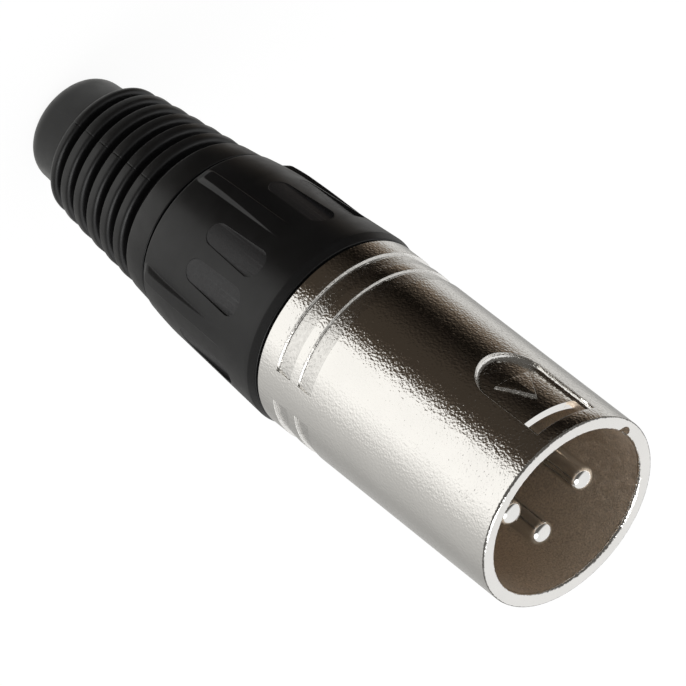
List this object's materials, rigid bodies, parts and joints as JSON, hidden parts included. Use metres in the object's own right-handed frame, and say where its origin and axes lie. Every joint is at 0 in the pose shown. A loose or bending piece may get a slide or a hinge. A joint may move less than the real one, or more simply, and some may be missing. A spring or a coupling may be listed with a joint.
{
  "type": "xlr cable plug",
  "caption": "Straight round audio cable plug: plated shell with a latch window and pins in its mouth, black grip nut behind it and a ribbed rubber boot.",
  "frame": {"origin": "centre of the boot's flat end face, on the plug's axis, which is the centre of the bottom of the bounding box", "axes": "+Z along the plug's axis from the boot's end to the mouth; -Y is the side with the latch window; +X is to the right when looking at that window with the mouth upwards"},
  "size_m": [0.0196, 0.0196, 0.0683],
  "materials": {
    "nickel_plate": "nickel plate on a zinc casting, satin gloss with a fine grain",
    "insert_plastic": "moulded black plastic",
    "pin_plate": "silver plate on brass, polished",
    "spring_strip": "rolled spring strip",
    "chuck_plastic": "moulded pale plastic",
    "nut_plastic": "moulded black plastic, satin, with finely grained pads",
    "boot_rubber": "matt moulded rubber"
  },
  "bodies": {
    "plug_shell": {"shell": "nickel_plate", "insert": "insert_plastic", "pin_1": "pin_plate", "pin_2": "pin_plate", "pin_3": "pin_plate", "ground_contact": "spring_strip"},
    "clamping_chuck": {"chuck": "chuck_plastic"},
    "nut_and_boot": {"grip_nut": "nut_plastic", "boot": "boot_rubber"}
  },
  "joints": [
    {"name": "chuck_slide", "type": "slide", "parent": "plug_shell", "child": "clamping_chuck", "axis": [0, 0, -1], "range_m": [0, 0.006]},
    {"name": "nut_turn", "type": "hinge", "parent": "clamping_chuck", "child": "nut_and_boot", "pos_m": [0, 0, 0.0295], "axis": [0, 0, -1], "range_deg": [0, 1440]}
  ],
  "couplings": [
    {"joint": "chuck_slide", "follows": "nut_turn", "m_per_rad": 0.00023873}
  ]
}
